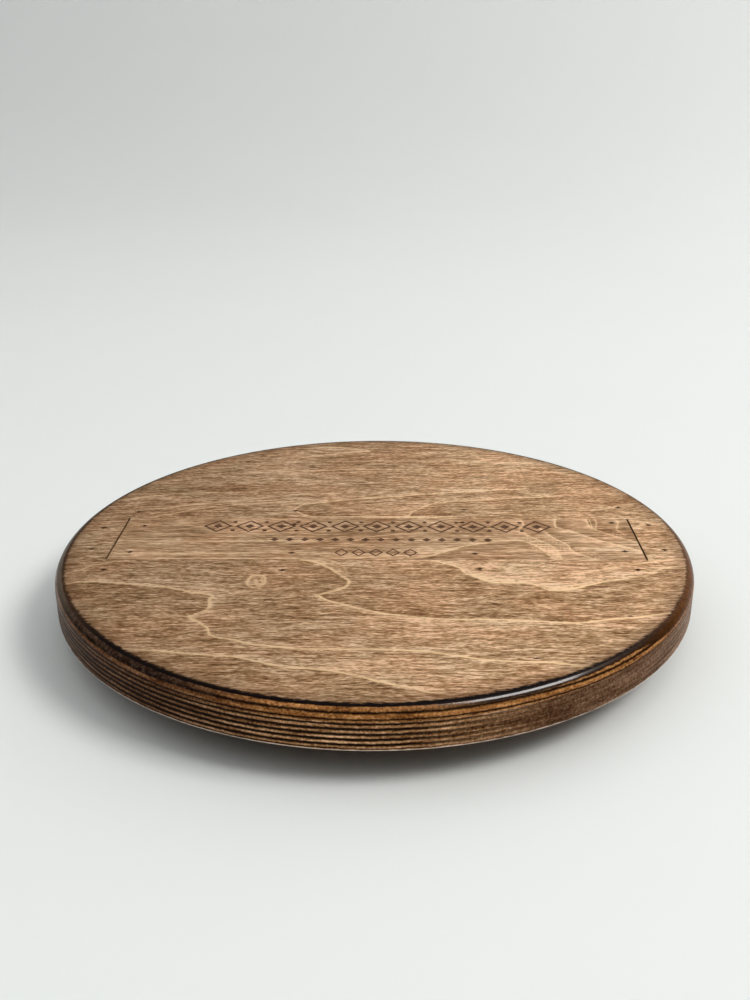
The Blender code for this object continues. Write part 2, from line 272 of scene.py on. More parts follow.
def across(tree, place_along, start, end, to_low=0.0, to_high=1.0):
    """A smooth step between two places along an axis, given as shares of the disc's radius."""
    return remap(tree, place_along, start * RADIUS, end * RADIUS, to_low, to_high)


def place(tree):
    return node(tree, "TexCoord").outputs["Object"]


def axes(tree, vector):
    """The X, Y and Z outputs of a split vector."""
    return node(tree, "SeparateXYZ", {"Vector": vector}).outputs


def vector_sum(tree, first, second):
    return node(tree, "VectorMath", {0: first, 1: second}, operation="ADD").outputs[0]


def stretched(tree, vector, x, y, z):
    """vector with each axis scaled, so that noise on it has x, y and z cells a metre."""
    return node(tree, "Mapping", {"Vector": vector, "Scale": (x, y, z)}).outputs["Vector"]


def noise(tree, vector, detail=3.0, roughness=0.5):
    values = {"Vector": vector, "Scale": 1.0, "Detail": detail, "Roughness": roughness}
    return node(tree, "TexNoise", values).outputs["Fac"]


def centred(tree, value, size):
    """value, from 0 to 1, as a shift from -size/2 to size/2."""
    return maths(tree, "MULTIPLY", maths(tree, "SUBTRACT", value, 0.5), size)


def new_material(name, **sockets):
    """A Principled material and its node tree and shader. Sockets are set by their names, _ for a space."""
    made = bpy.data.materials.new(name)
    made.use_nodes = True
    tree = made.node_tree
    shader = tree.nodes["Principled BSDF"]
    for key, value in sockets.items():
        shader.inputs[key.replace("_", " ")].default_value = value
    return made, tree, shader


def wire(tree, shader, **sockets):
    for key, value in sockets.items():
        tree.links.new(value, shader.inputs[key.replace("_", " ")])


def bump(tree, height, strength, distance):
    values = {"Height": height, "Strength": strength, "Distance": distance}
    return node(tree, "Bump", values).outputs["Normal"]


# ---------------------------------------------------------------- wood

# Stained birch from its darkest pores to its palest growth rings: tone and colour
STAIN = (
    (0.02, (0.110, 0.048, 0.018)),
    (0.11, (0.190, 0.091, 0.036)),
    (0.25, (0.258, 0.135, 0.060)),
    (0.40, (0.346, 0.194, 0.095)),
    (0.50, (0.420, 0.245, 0.125)),
    (0.60, (0.497, 0.305, 0.167)),
    (0.75, (0.650, 0.421, 0.253)),
    (0.89, (0.820, 0.557, 0.354)),
)
RING_CAST = (1.0, 1.01, 0.90)
NEAR_BLACK = (0.004, 0.0015, 0.0008)
WHITE = (1.0, 1.0, 1.0)


def stain(tree, tone):
    """The stained wood's colour at a tone from 0 to 1."""
    made = node(tree, "ValToRGB", {"Fac": tone})
    stops = made.color_ramp.elements
    while len(stops) < len(STAIN):
        stops.new(0.5)
    for stop, (position, colour) in zip(stops, STAIN):
        stop.position = position
        stop.color = (*colour, 1.0)
    return made.outputs["Color"]


def total(tree, *values):
    added = values[0]
    for value in values[1:]:
        added = maths(tree, "ADD", added, value)
    return added


def wood_colour(tree, seed, contrast, figured, shortness=1.0):
    """Stained veneer with its grain along X. Returns its colour and a height for bump."""
    spot = vector_sum(tree, place(tree), (seed, seed * 0.7, 0.0))
    drift = noise(tree, stretched(tree, spot, 9, 12, 9), 2.0)
    bend = node(tree, "CombineXYZ", {"Y": centred(tree, drift, 14 * MM)}).outputs[0]
    grain_spot = vector_sum(tree, spot, bend)

    streaks = noise(tree, stretched(tree, grain_spot, 75 * shortness, 600, 60), 3.0, 0.62)
    fibres = noise(tree, stretched(tree, grain_spot, 300 * shortness, 1300, 200), 2.0, 0.6)
    bands = noise(tree, stretched(tree, grain_spot, 7, 95, 10), 3.0, 0.55)
    patches = noise(tree, stretched(tree, spot, 14, 22, 12), 3.0, 0.6)
    pores = noise(tree, stretched(tree, grain_spot, 170, 1000, 200), 1.0, 0.5)
    tone = total(
        tree,
        0.5,
        centred(tree, streaks, 1.8 * contrast),
        centred(tree, fibres, 1.6 * contrast),
        centred(tree, bands, 0.35 * contrast),
        centred(tree, patches, 0.5),
        remap(tree, pores, 0.38, 0.26, 0.0, -0.25),
    )
    hue = noise(tree, stretched(tree, spot, 24, 30, 20), 3.0, 0.6)
    cast = blend(tree, remap(tree, hue, 0.4, 0.62), (0.98, 1.01, 1.02), (1.03, 0.98, 0.965))
    if figured:
        tone, ring = figure_tone(tree, tone, grain_spot)
        cast = blend(tree, ring, cast, RING_CAST)
    return blend(tree, 1.0, stain(tree, tone), cast, "MULTIPLY"), total(tree, streaks, fibres)


def stored_parts(tree, name):
    """The three parts of a vector that add_figure stored at each vertex."""
    return axes(tree, node(tree, "Attribute", attribute_name=name).outputs["Vector"])


def figure_tone(tree, tone, grain_spot):
    """Adds the growth rings that add_figure stored: pale lines, and the shade beside them.

    Also returns how much of a ring there is at each place.
    """
    offset, half_width, strength = stored_parts(tree, "figure")
    away, shade, _ = stored_parts(tree, "field")
    ragged = centred(tree, noise(tree, stretched(tree, grain_spot, 130, 620, 60), 3.0, 0.6), 1.5)
    wavy = centred(tree, noise(tree, stretched(tree, grain_spot, 45, 60, 45), 2.0), 1.2)
    size = maths(tree, "ABSOLUTE", total(tree, offset, ragged, wavy))
    size = maths(tree, "SUBTRACT", size, half_width)
    strength = maths(tree, "MULTIPLY", strength, remap(tree, away, 4.5, 3.0))
    patchy = remap(tree, noise(tree, stretched(tree, grain_spot, 35, 60, 30), 3.0), 0.35, 0.6, 0.8, 1.0)
    core = maths(tree, "MULTIPLY", maths(tree, "MULTIPLY", remap(tree, size, 0.75, 0.0), strength), patchy)
    glow = maths(tree, "MULTIPLY", remap(tree, size, 3.0, 0.2, 0.0, 0.10), strength)
    shaded = total(tree, tone, glow, maths(tree, "MULTIPLY", shade, 0.20))
    pale = maths(tree, "MULTIPLY", core, 0.76)
    keep = maths(tree, "SUBTRACT", 1.0, pale)
    return total(tree, maths(tree, "MULTIPLY", shaded, keep), pale), core


def light_and_stain_across(tree, colour, low, high):
    """Scales the colour from low at the left end to high at the right: painted light, partly a lighter stain.
    """
    share = across(tree, axes(tree, place(tree))["X"], -1.0, 1.0, low, high)
    return blend(tree, 1.0, colour, share, "MULTIPLY")


def darkened_below(tree, colour):
    """The stain has pooled on the walls of the joints and the nail holes."""
    z = axes(tree, place(tree))["Z"]
    sunk = remap(tree, z, TOP - 0.1 * MM, TOP - 0.5 * MM, 0.0, 0.75)
    return blend(tree, sunk, colour, (0.150, 0.080, 0.042))


def veneer_material(name, seed, contrast, figured=False, drift=(0.78, 1.2), shortness=1.0):
    """Plain veneer, or with the growth rings of add_figure. A higher shortness has shorter fibres."""
    made, tree, shader = new_material(name, Specular_IOR_Level=0.04)
    colour, height = wood_colour(tree, seed, contrast, figured, shortness)
    # drift scales the colour from left to right: painted light, partly stain
    colour = light_and_stain_across(tree, colour, *drift)
    if figured:
        colour = darkened_below(tree, colour)
    wear = noise(tree, stretched(tree, place(tree), 30, 60, 30), 3.0)
    rough = remap(tree, wear, 0.3, 0.7, 0.44, 0.58)
    wire(tree, shader, Base_Color=colour, Roughness=rough, Normal=bump(tree, height, 0.2, 0.12 * MM))
    return made


def radial(tree):
    """Distance from the turning axis, in mm."""
    x, y, _ = axes(tree, place(tree))
    square = maths(tree, "ADD", maths(tree, "MULTIPLY", x, x), maths(tree, "MULTIPLY", y, y))
    return maths(tree, "MULTIPLY", maths(tree, "SQRT", square), PER_METRE)


def ply_lines(tree, depth, plies_mm, softness):
    """1 in the dark plies and 0 between them. depth is in mm below the top."""
    darkest = None
    for middle, thickness in plies_mm:
        away = maths(tree, "ABSOLUTE", maths(tree, "SUBTRACT", depth, middle))
        line = remap(tree, away, thickness / 2 + softness, thickness / 2 - softness)
        darkest = line if darkest is None else maths(tree, "MAXIMUM", darkest, line)
    return darkest


def ply_colour(tree, top, plies_mm):
    """The cut edge: tan plies with near-black ones between, greyer and flatter at the sides as painted sheen.

    Returns its colour, its relief and the depth in mm below the top, which wavers as the plies do.
    """
    spot = place(tree)
    x, _, z = axes(tree, spot)
    wobble = centred(tree, noise(tree, stretched(tree, spot, 22, 22, 22), 2.0), 0.7)
    frayed = centred(tree, noise(tree, stretched(tree, spot, 240, 240, 500), 3.0, 0.65), 1.1)
    depth = maths(tree, "MULTIPLY", maths(tree, "SUBTRACT", top, z), PER_METRE)
    depth = total(tree, depth, wobble, frayed)
    dip = across(tree, x, 0.35, 0.65, 0.0, -0.9)
    below = remap(tree, depth, 5.5, 6.5)
    lines = ply_lines(tree, total(tree, depth, dip), plies_mm, 0.45)

    along = noise(tree, stretched(tree, spot, 40, 40, 600), 4.0, 0.6)
    ticks = noise(tree, stretched(tree, spot, 620, 620, 800), 3.0, 0.65)
    patches = noise(tree, stretched(tree, spot, 15, 15, 150), 3.0)
    tone = total(
        tree,
        0.44,
        centred(tree, along, 1.7),
        centred(tree, ticks, 1.8),
        centred(tree, patches, 0.7),
    )
    warmth = blend(tree, below, (0.95, 0.70, 0.42), (1.3, 1.16, 1.02))
    amber = blend(tree, 1.0, stain(tree, tone), warmth, "MULTIPLY")
    # At the sides the plies are painted greyer and flatter: painted sheen, with painted shade at the left
    right = maths(tree, "MULTIPLY", across(tree, x, 0.05, 0.5), below)
    left = across(tree, x, -0.15, -0.6)
    sheen_tint = blend(tree, left, (0.40, 0.34, 0.33), (0.44, 0.34, 0.29))
    # Far to the right the edge is painted paler grey: a painted sheen
    sheen_tint = blend(tree, across(tree, x, 0.74, 0.88), sheen_tint, (0.62, 0.58, 0.60))
    sheened = blend(tree, 1.0, stain(tree, tone), sheen_tint, "MULTIPLY")
    colour = blend(tree, maths(tree, "ADD", right, left, clamp=True), amber, sheened)
    strength = maths(tree, "SUBTRACT", 0.97, maths(tree, "MULTIPLY", right, 0.72))
    cover = maths(tree, "MULTIPLY", lines, strength)
    relief = maths(tree, "SUBTRACT", total(tree, along, ticks), maths(tree, "MULTIPLY", lines, 0.8))
    return blend(tree, cover, colour, NEAR_BLACK), relief, depth


def edge_material(name, top, plies_mm, pale_corner=None):
    """The stained and varnished edge. A pale corner is a depth in mm below which a painted reflection of the
    floor lies.
    """
    made, tree, shader = new_material(name, Specular_IOR_Level=0.02)
    colour, relief, depth = ply_colour(tree, top, plies_mm)
    if pale_corner:
        # Painted reflection of the pale floor along the lower corner
        floor_glint = remap(tree, depth, pale_corner - 0.2, pale_corner + 0.2, 0.0, 0.9)
        colour = blend(tree, floor_glint, colour, (0.85, 0.70, 0.58))
    rough = remap(tree, relief, 0.6, 1.4, 0.34, 0.48)
    wire(tree, shader, Base_Color=colour, Roughness=rough, Normal=bump(tree, relief, 0.3, 0.25 * MM))
    return made


def torn_reach(tree, x, y):
    """Distance from the axis in mm, frayed with the fibres, and shifted as the stain's ragged end wanders."""
    frayed = centred(tree, noise(tree, stretched(tree, place(tree), 260, 750, 200), 3.0, 0.6), 5.0)
    front = across(tree, y, -0.25, -0.75)
    wander = maths(tree, "MULTIPLY", front, across(tree, x, 0.25, 0.7, 1.9, 0.0))
    wander = total(tree, wander, across(tree, x, 0.65, 0.95, 0.0, -1.2))
    return total(tree, radial(tree), frayed, wander)


def face_veneer(tree, torn):
    """The figured veneer, darker towards the rim and burnt at its end. Also a height for bump."""
    veneer, grain = wood_colour(tree, 0.0, 1.0, True)
    # Darker at the left and lighter at the right: painted light, partly stain
    veneer = darkened_below(tree, light_and_stain_across(tree, veneer, 0.74, 1.24))
    shade = remap(tree, torn, RIM_MM - 12.0, RIM_MM + 1.0, 0.0, 0.47)
    veneer = blend(tree, shade, veneer, (0.12, 0.06, 0.026))
    burnt = remap(tree, torn, RIM_MM - 0.9, RIM_MM + 0.6, 0.0, 0.85)
    return blend(tree, burnt, veneer, (0.035, 0.013, 0.005)), grain


def bared_rim(tree, x):
    """The rim's plies: near-black at the left as painted shade, red-brown with a painted glow at the right.

    Also returns the red-brown with its painted glow, and the depth in mm below the top.
    """
    plies, _, depth = ply_colour(tree, TOP, PLIES_MM[:3])
    right = across(tree, x, 0.06, 0.3)
    deeper = total(tree, depth, across(tree, x, 0.68, 0.82, 0.0, -2.6))
    soaked_right = maths(tree, "MULTIPLY", right, remap(tree, deeper, 1.75, 1.25, 0.0, 0.96))
    # Painted shade: the rim darkens to near-black towards the left
    left = across(tree, x, -0.25, -0.55, 0.0, 0.85)
    shaded_left = maths(tree, "MULTIPLY", left, remap(tree, depth, 2.7, 2.0))
    stain_and_shade = maths(tree, "MAXIMUM", soaked_right, shaded_left)
    speck = noise(tree, stretched(tree, place(tree), 420, 420, 420), 3.0, 0.65)
    dark = blend(tree, remap(tree, speck, 0.45, 0.68), (0.012, 0.006, 0.004), (0.075, 0.048, 0.034))
    dark = blend(tree, across(tree, x, -0.8, -0.97), dark, (0.095, 0.068, 0.045))
    # The red-brown stain brightens towards the right end: a painted glow of the light from the right
    red_stain_and_glow = blend(tree, across(tree, x, 0.66, 0.98), (0.010, 0.004, 0.002), (0.15, 0.048, 0.007))
    red_stain_and_glow = blend(tree, remap(tree, speck, 0.4, 0.62, 0.0, 0.5), red_stain_and_glow, NEAR_BLACK)
    return blend(tree, stain_and_shade, plies, blend(tree, right, dark, red_stain_and_glow)), red_stain_and_glow, depth


def face_material():
    """Veneer on the flat top, bared plies on the rounded rim, and a ragged dark line between them."""
    made, tree, shader = new_material(
        "face_wood",
        Coat_Roughness=0.13,
        Coat_IOR=1.45,
        Specular_IOR_Level=0.02,
    )
    x, y, _ = axes(tree, place(tree))
    torn = torn_reach(tree, x, y)
    veneer, grain = face_veneer(tree, torn)
    bared, red_stain_and_glow, depth = bared_rim(tree, x)

    line = remap(tree, torn, RIM_MM + 0.2, RIM_MM + 1.2)
    line = maths(tree, "MULTIPLY", line, across(tree, x, -0.97, -0.7, 0.2))
    # At the right the line takes the red-brown, with its painted glow
    line_colour = blend(tree, across(tree, x, 0.45, 0.75), NEAR_BLACK, red_stain_and_glow)
    reach = radial(tree)
    rough_end = centred(tree, noise(tree, stretched(tree, place(tree), 200, 200, 300), 3.0), 1.2)
    on_rim = remap(tree, maths(tree, "ADD", reach, rough_end), RIM_MM + 1.5, RIM_MM + 2.2)
    colour = blend(tree, line, veneer, line_colour)
    colour = blend(tree, on_rim, colour, bared)

    rough = remap(tree, on_rim, 0.0, 1.0, 0.48, 0.3)
    coat = remap(tree, reach, RIM_MM + 0.8, RIM_MM + 2.0, 0.0, 0.17)
    coat = maths(tree, "MULTIPLY", coat, remap(tree, depth, 5.5, 3.5, 0.3))
    wire(tree, shader, Base_Color=colour, Roughness=rough, Coat_Weight=coat)
    wire(tree, shader, Normal=bump(tree, grain, 0.2, 0.12 * MM))
    return made


def burnt_material():
    made, tree, shader = new_material("burnt_wood", Specular_IOR_Level=0.05)
    grain = noise(tree, stretched(tree, place(tree), 60, 900, 60), 4.0, 0.6)
    colour = blend(tree, remap(tree, grain, 0.35, 0.7), (0.065, 0.026, 0.012), (0.17, 0.078, 0.04))
    rough = remap(tree, grain, 0.3, 0.7, 0.5, 0.65)
    wire(tree, shader, Base_Color=colour, Roughness=rough, Normal=bump(tree, grain, 0.3, 0.1 * MM))
    return made


# ---------------------------------------------------------------- other materials


def steel_material(name, tint, roughness, spangle):
    """Plated sheet: faint crystal patches, fine scratches and duller spots."""
    made, tree, shader = new_material(name, Metallic=1.0)
    spot = place(tree)
    cells = node(tree, "TexVoronoi", {"Vector": spot, "Scale": 260.0}).outputs["Distance"]
    scratches = noise(tree, stretched(tree, spot, 60, 2600, 300), 3.0, 0.6)
    stains = noise(tree, stretched(tree, spot, 60, 60, 60), 4.0, 0.6)
    dark = tuple(c * 0.72 for c in tint)
    colour = blend(tree, remap(tree, cells, 0.0, 0.6, 0.0, spangle), tint, dark)
    colour = blend(tree, remap(tree, stains, 0.55, 0.8, 0.0, 0.5), colour, dark)
    rough = remap(tree, stains, 0.35, 0.7, roughness, roughness + 0.16)
    rough = maths(tree, "ADD", rough, remap(tree, scratches, 0.4, 0.7, 0.0, 0.08))
    wire(tree, shader, Base_Color=colour, Roughness=rough, Normal=bump(tree, scratches, 0.12, 0.05 * MM))
    return made


def nail_material():
    made, tree, shader = new_material("nail_steel", Metallic=0.1, Specular_IOR_Level=0.05)
    rust = noise(tree, stretched(tree, place(tree), 900, 900, 900), 3.0, 0.6)
    colour = blend(tree, remap(tree, rust, 0.4, 0.65), (0.030, 0.014, 0.008), (0.080, 0.037, 0.020))
    rough = remap(tree, rust, 0.3, 0.7, 0.45, 0.7)
    wire(tree, shader, Base_Color=colour, Roughness=rough, Normal=bump(tree, rust, 0.3, 0.1 * MM))
    return made


def rubber_material():
    made, tree, shader = new_material("rubber", Specular_IOR_Level=0.35)
    dust = noise(tree, stretched(tree, place(tree), 180, 180, 180), 4.0, 0.65)
    fine = noise(tree, stretched(tree, place(tree), 2200, 2200, 2200), 2.0)
    colour = blend(tree, remap(tree, dust, 0.5, 0.75), (0.018, 0.018, 0.019), (0.06, 0.058, 0.054))
    rough = remap(tree, dust, 0.3, 0.7, 0.62, 0.82)
    wire(tree, shader, Base_Color=colour, Roughness=rough, Normal=bump(tree, fine, 0.35, 0.1 * MM))
    return made


def cage_material():
    made, tree, shader = new_material("cage_plastic")
    flow = noise(tree, stretched(tree, place(tree), 90, 90, 300), 3.0)
    colour = blend(tree, remap(tree, flow, 0.35, 0.7), (0.62, 0.60, 0.53), (0.74, 0.72, 0.66))
    rough = remap(tree, flow, 0.3, 0.7, 0.4, 0.55)
    wire(tree, shader, Base_Color=colour, Roughness=rough, Normal=bump(tree, flow, 0.15, 0.1 * MM))
    return made


# ---------------------------------------------------------------- wood figure

# Growth-ring lines on the face panel: each one's strength, half width in mm, shade beside it, and its points
# in mm from the axis. A positive shade darkens the wood on the right of the line, seen along it, and lightens
# the left.
FACE_FIGURE_MM = (
    (1.0, 0.5, 1.0, ((-196, -66), (-185, -63), (-177, -60.5), (-165, -61), (-152, -63), (-139, -66),
                     (-125, -68.5), (-116, -72), (-107, -75.5), (-99, -78), (-94.7, -81), (-96.9, -85),
                     (-95.6, -91), (-96.5, -98), (-101.5, -102.5), (-105.5, -106))),
    (1.0, 0.4, 0.2, ((-105.5, -106), (-101.5, -110), (-95, -116), (-91.6, -121.6), (-91, -126),
                     (-86, -129.6), (-78, -132), (-67, -137), (-55, -139.5), (-41, -142.5), (-22, -143),
                     (0, -144), (17, -145), (30, -147), (44, -151), (58, -155), (74, -157), (95, -158.6),
                     (106, -162), (120, -165))),
    (0.5, 0.2, 0.0, ((-125, -105), (-115, -104.5), (-105.5, -106))),
    (0.9, 0.7, 0.5, ((-46, -31), (-37, -35), (-31.5, -40), (-26, -46), (-22, -52), (-18, -58),
                     (-15.6, -62), (-16.3, -67.4), (-21, -73), (-27.5, -77), (-33, -80))),
    (1.0, 0.4, -0.8, ((-33, -80), (-31.5, -83), (-25, -88.6), (-17, -92.5), (-9, -97), (0, -101),
                      (8, -104), (17, -106.5), (29, -109), (44, -111), (63, -111), (82, -112.4),
                      (98, -114.5), (112, -116), (123, -114), (136, -111), (149, -109.5), (159, -107),
                      (175, -102))),
    (0.4, 0.3, 0.0, ((-30, -31), (-23.5, -36), (-19.6, -41), (-17, -50))),
    (1.0, 0.4, 0.8, ((34, -31), (42, -37), (49, -41.6), (54, -46), (55, -51), (61, -57))),
    (1.0, 0.6, 0.8, ((61, -57), (66, -61.5), (71.5, -65), (82, -66))),
    (0.6, 0.4, 0.0, ((62, -53), (68, -58), (75, -61), (84, -62.5))),
    (1.0, 0.4, 0.8, ((82, -66), (91, -65.5), (98, -70), (103, -75))),
    (1.0, 0.6, 0.8, ((103, -75), (112, -76), (119, -73.5), (127, -70), (136, -65.5))),
    (0.6, 0.4, 0.0, ((100, -69), (108, -72), (117, -70), (126, -66.5))),
    (0.9, 0.4, 0.7, ((136, -65.5), (145, -63), (156, -59.5))),
    (0.55, 0.3, 0.5, ((156, -59.5), (168, -56), (172, -52), (174.5, -49), (182, -46), (197, -44))),
    (0.5, 0.4, 0.0, ((118, -57), (140, -48), (168, -39), (180, -36))),
    (0.6, 0.6, 0.3, ((93, -92), (97, -95), (100, -98))),
    (0.9, 0.4, 0.7, ((-138, -141), (-129, -142), (-117, -143.4), (-104, -146), (-91, -148), (-76, -150),
                     (-64.5, -154), (-54, -158.6), (-45, -162), (-31.5, -163), (-20, -166), (-9, -170),
                     (0, -175), (12, -180), (20, -182), (24, -185), (34, -187))),
    (0.8, 0.5, -0.3, ((-76, -56), (-74, -53), (-68, -54), (-66, -60), (-67, -66), (-71, -70),
                      (-76, -67), (-77, -61), (-76, -56))),
    (0.5, 0.8, 0.0, ((-72, -59), (-71, -64))),
    (0.7, 0.4, 0.0, ((-194, -52), (-189, -49), (-182, -43.5), (-175.5, -37.5), (-166, -33.5), (-155, -31))),
    (0.3, 0.3, 0.0, ((-155, -49), (-146, -46), (-136, -45), (-126, -46))),
    (0.9, 0.4, 0.8, ((53, 37), (5, 37.5), (-38, 38), (-48, 41), (-55, 50), (-53, 57), (-43, 62.5), (-6, 71),
                     (59, 81), (110, 88))),
    (0.8, 0.4, 0.5, ((24, 36), (26, 44), (34, 53), (44, 61), (77, 67), (125, 72))),
    (0.75, 0.5, -0.4, ((-196, 60), (-185, 70), (-139, 83), (-101, 84))),
    (0.65, 0.4, 0.0, ((-178, 47), (-124, 62), (-42, 83))),
    (0.7, 0.4, 0.3, ((-157, 37), (-110, 58), (-59, 65))),
    (0.7, 0.5, 0.5, ((-62, 150), (-57, 158), (-30, 166), (-3, 173), (-20, 180), (-42, 184))),
    (0.45, 0.3, 0.0, ((-170, 105), (-100, 124), (0, 131), (110, 126), (170, 110))),
    (0.45, 0.3, 0.3, ((-150, 127), (-80, 144), (20, 149), (130, 139))),
    (0.4, 0.3, 0.0, ((176, 16), (186, 24), (195, 16), (190, 8), (178, 3))),
    (0.3, 0.3, 0.0, ((98, 40), (112, 50), (150, 46), (186, 58))),
)

# The same on the strip
STRIP_FIGURE_MM = (
    (0.8, 0.25, -0.8, ((127, 40), (122, 19), (131, 11), (145, -3), (162, -15), (172, -24))),
    (0.8, 0.25, -0.8, ((145, 40), (145, 19), (151, 9), (162, -1), (171, -8))),
    (0.65, 0.25, 0.0, ((149, 38), (151, 26), (148, 14))),
    (0.65, 0.25, 0.0, ((159, 34), (165, 29), (165, 22), (162, 12), (165, 4))),
    (0.75, 0.25, -0.6, ((110, 18), (118, -1), (125, -11), (127, -22), (140, -34))),
    (0.7, 0.4, 0.8, ((20, -30), (33, -28), (48, -19), (60, -12), (90, -4), (104, -12), (112, -30))),
    (0.6, 0.25, -0.5, ((98, 38), (101, 22), (97, 12), (107, -3), (116, -16), (118, -34))),
    (0.5, 0.3, 0.5, ((86, -22), (100, -20), (110, -25), (114, -30))),
    (0.3, 0.3, 0.0, ((135, -20), (141, -25), (144, -32))),
    (0.5, 0.3, 0.2, ((-170, -1.5), (-110, -2.5), (-40, -1), (10, 6), (40, 10))),
    (0.6, 0.4, 0.0, ((-165, -20), (-120, -21), (-60, -20), (-20, -22), (20, -27))),
    (0.5, 0.3, 0.0, ((-172, -28), (-100, -28.5), (-20, -29), (10, -28))),
    (0.4, 0.3, 0.0, ((-170, 12), (-100, 9), (-30, 14), (40, 26))),
    (0.3, 0.3, 0.0, ((-172, 26), (-120, 24), (-60, 25), (0, 31))),
)

# Small dark spots in the face panel
FLECKS_MM = ((144.2, -108.3), (84.8, -153.9), (-1.2, -177.2))

# A vertex farther than this from every line stores none
FAR_MM = 60.0
# How slowly the shade beside a line fades
SHADE_REACH_MM = 10.0


def smooth_line(points, per_span=4):
    """Points of a smooth curve through the given ones (Catmull-Rom)."""
    ends = [points[0], *points, points[-1]]
    found = []
    for p0, p1, p2, p3 in zip(ends, ends[1:], ends[2:], ends[3:]):
        p0, p1, p2, p3 = (np.array(p, float) for p in (p0, p1, p2, p3))
        for t in np.arange(per_span) / per_span:
            bend = 2 * p1 + (p2 - p0) * t + (2 * p0 - 5 * p1 + 4 * p2 - p3) * t**2
            found.append((bend + (3 * p1 - p0 - 3 * p2 + p3) * t**3) / 2)
    found.append(np.array(points[-1], float))
    return np.array(found)


def nearest_on_line(spots, line):
    """Each spot's distance to a polyline, and how squarely it lies to its left (1) or right (-1)."""
    nearest = np.full(len(spots), np.inf)
    side = np.zeros(len(spots))
    for start, end in zip(line, line[1:]):
        step = end - start
        length = np.hypot(*step)
        offset = spots - start
        share = np.clip((offset @ step) / length**2, 0.0, 1.0)
        away = offset - share[:, None] * step
        distance = np.hypot(away[:, 0], away[:, 1])
        square = (step[0] * offset[:, 1] - step[1] * offset[:, 0]) / (length * np.maximum(distance, TINY))
        closer = distance < nearest
        nearest[closer] = distance[closer]
        side[closer] = np.clip(square, -1.0, 1.0)[closer]
    return nearest, side


def add_figure(piece, lines_mm):
    """Stores two vectors at each vertex.

    figure holds the signed distance in mm to the nearest growth ring, the ring's half width and its strength.
    field holds the distance in mm to that ring's edge, and the shade.
    """
    mesh = piece.data
    places = np.zeros(len(mesh.vertices) * 3)
    mesh.vertices.foreach_get("co", places)
    spots = places.reshape(-1, 3)[:, :2] * PER_METRE
    nearest = np.full(len(spots), FAR_MM)
    figure = np.zeros((len(spots), 3))
    shade = np.zeros(len(spots))
    for strength, half_width, contrast, points in lines_mm:
        distance, side = nearest_on_line(spots, smooth_line(points))
        shade += contrast * side * np.exp(-distance / SHADE_REACH_MM)
        away = distance - half_width
        closer = away < nearest
        nearest[closer] = away[closer]
        signed = np.where(side < 0, -distance, distance)
        ring = np.stack([signed, np.full_like(signed, half_width), np.full_like(signed, strength)], 1)
        figure[closer] = ring[closer]
    field = np.stack([nearest, shade, np.zeros_like(shade)], 1)
    for name, values in (("figure", figure), ("field", field)):
        stored = mesh.attributes.new(name, "FLOAT_VECTOR", "POINT").data
        stored.foreach_set("vector", values.astype(np.float32).ravel())


# ---------------------------------------------------------------- the disc


def nail_spots():
    """Each nail's node with its place, from the CAD model."""
    names = sorted(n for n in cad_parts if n.startswith("nail_"))
    return [(n, *((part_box(n)[0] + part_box(n)[1]) / 2).xy) for n in names]


def edge_profile(low, high):
    """The disc's side from high to low, set back a little at each dark ply."""
    points = []
    for height in (*spread(high, low, PROFILE_STEP), low):
        depth = (TOP - height) * PER_METRE
        shares = [(depth - middle) / (thickness * GROOVE_SPREAD) for middle, thickness in PLIES_MM]
        dip = max(math.exp(-(share**2)) for share in shares)
        points.append((RADIUS - PLY_RELIEF * dip, height))
    return points


def in_strip(x, y):
    turned_back = Matrix.Rotation(-STRIP_YAW, 2) @ (Vector((x, y)) - STRIP_CENTRE.xy)
    return abs(turned_back.x) < STRIP_LENGTH / 2 and abs(turned_back.y) < STRIP_WIDTH / 2


def drill_nail_holes(piece, on_strip):
    """Cuts the holes of the nails that stand on the strip, or of those in the panel round it."""

    def holes(bm):
        for _, x, y in nail_spots():
            if in_strip(x, y) == on_strip:
                add_cylinder(bm, NAIL_HOLE, TOP - NAIL_HOLE_DEPTH, TOP + MM, x, y, HOLE_STEPS)

    cut(piece, holes)


def make_face_panel(material):
    flat = RADIUS - ROUNDOVER
    profile = [(r, TOP) for r in spread(0.0, flat, GRID)]
    profile += arc(flat, TOP - ROUNDOVER, ROUNDOVER, 90, 0, 16)
    profile += [(RADIUS, SEAM_HIGH), (flat, SEAM_HIGH), (0.0, SEAM_HIGH)]
    panel = turned_piece("face_panel", profile, DISC_STEPS, material)

    def opening(bm):
        size = (STRIP_LENGTH + 2 * END_SEAM, STRIP_WIDTH + 2 * SIDE_SEAM, 4 * (TOP - SEAM_HIGH), 1.0)
        where = Matrix.Translation(STRIP_CENTRE) @ STRIP_TURN @ Matrix.Diagonal(size)
        bmesh.ops.create_cube(bm, size=1.0, matrix=where)

    cut(panel, opening)
    drill_nail_holes(panel, False)
    add_figure(panel, FACE_FIGURE_MM)
    smooth(panel)
    return finish_piece(panel, "turntable", "face_wood", "face_panel")


def make_strip(material):
    where = Matrix.Translation((STRIP_CENTRE.x, STRIP_CENTRE.y, TOP)) @ STRIP_TURN

    def slab(bm):
        size = Matrix.Diagonal((STRIP_LENGTH / 2, STRIP_WIDTH / 2, 1.0, 1.0))
        columns, rows = round(STRIP_LENGTH / GRID), round(STRIP_WIDTH / GRID)
        bmesh.ops.create_grid(bm, x_segments=columns, y_segments=rows, size=1.0, matrix=where @ size)
        down = bmesh.ops.extrude_face_region(bm, geom=bm.faces[:])
        moved = [v for v in down["geom"] if isinstance(v, bmesh.types.BMVert)]
        bmesh.ops.translate(bm, verts=moved, vec=(0, 0, SEAM_HIGH - TOP))
        bmesh.ops.recalc_face_normals(bm, faces=bm.faces[:])

    strip = new_piece("inlay_strip_fine", mesh_from("inlay_strip_fine", slab), material)
    drill_nail_holes(strip, True)
    add_figure(strip, STRIP_FIGURE_MM)
    smooth(strip)
    return finish_piece(strip, "turntable", "strip_wood", "inlay_strip")


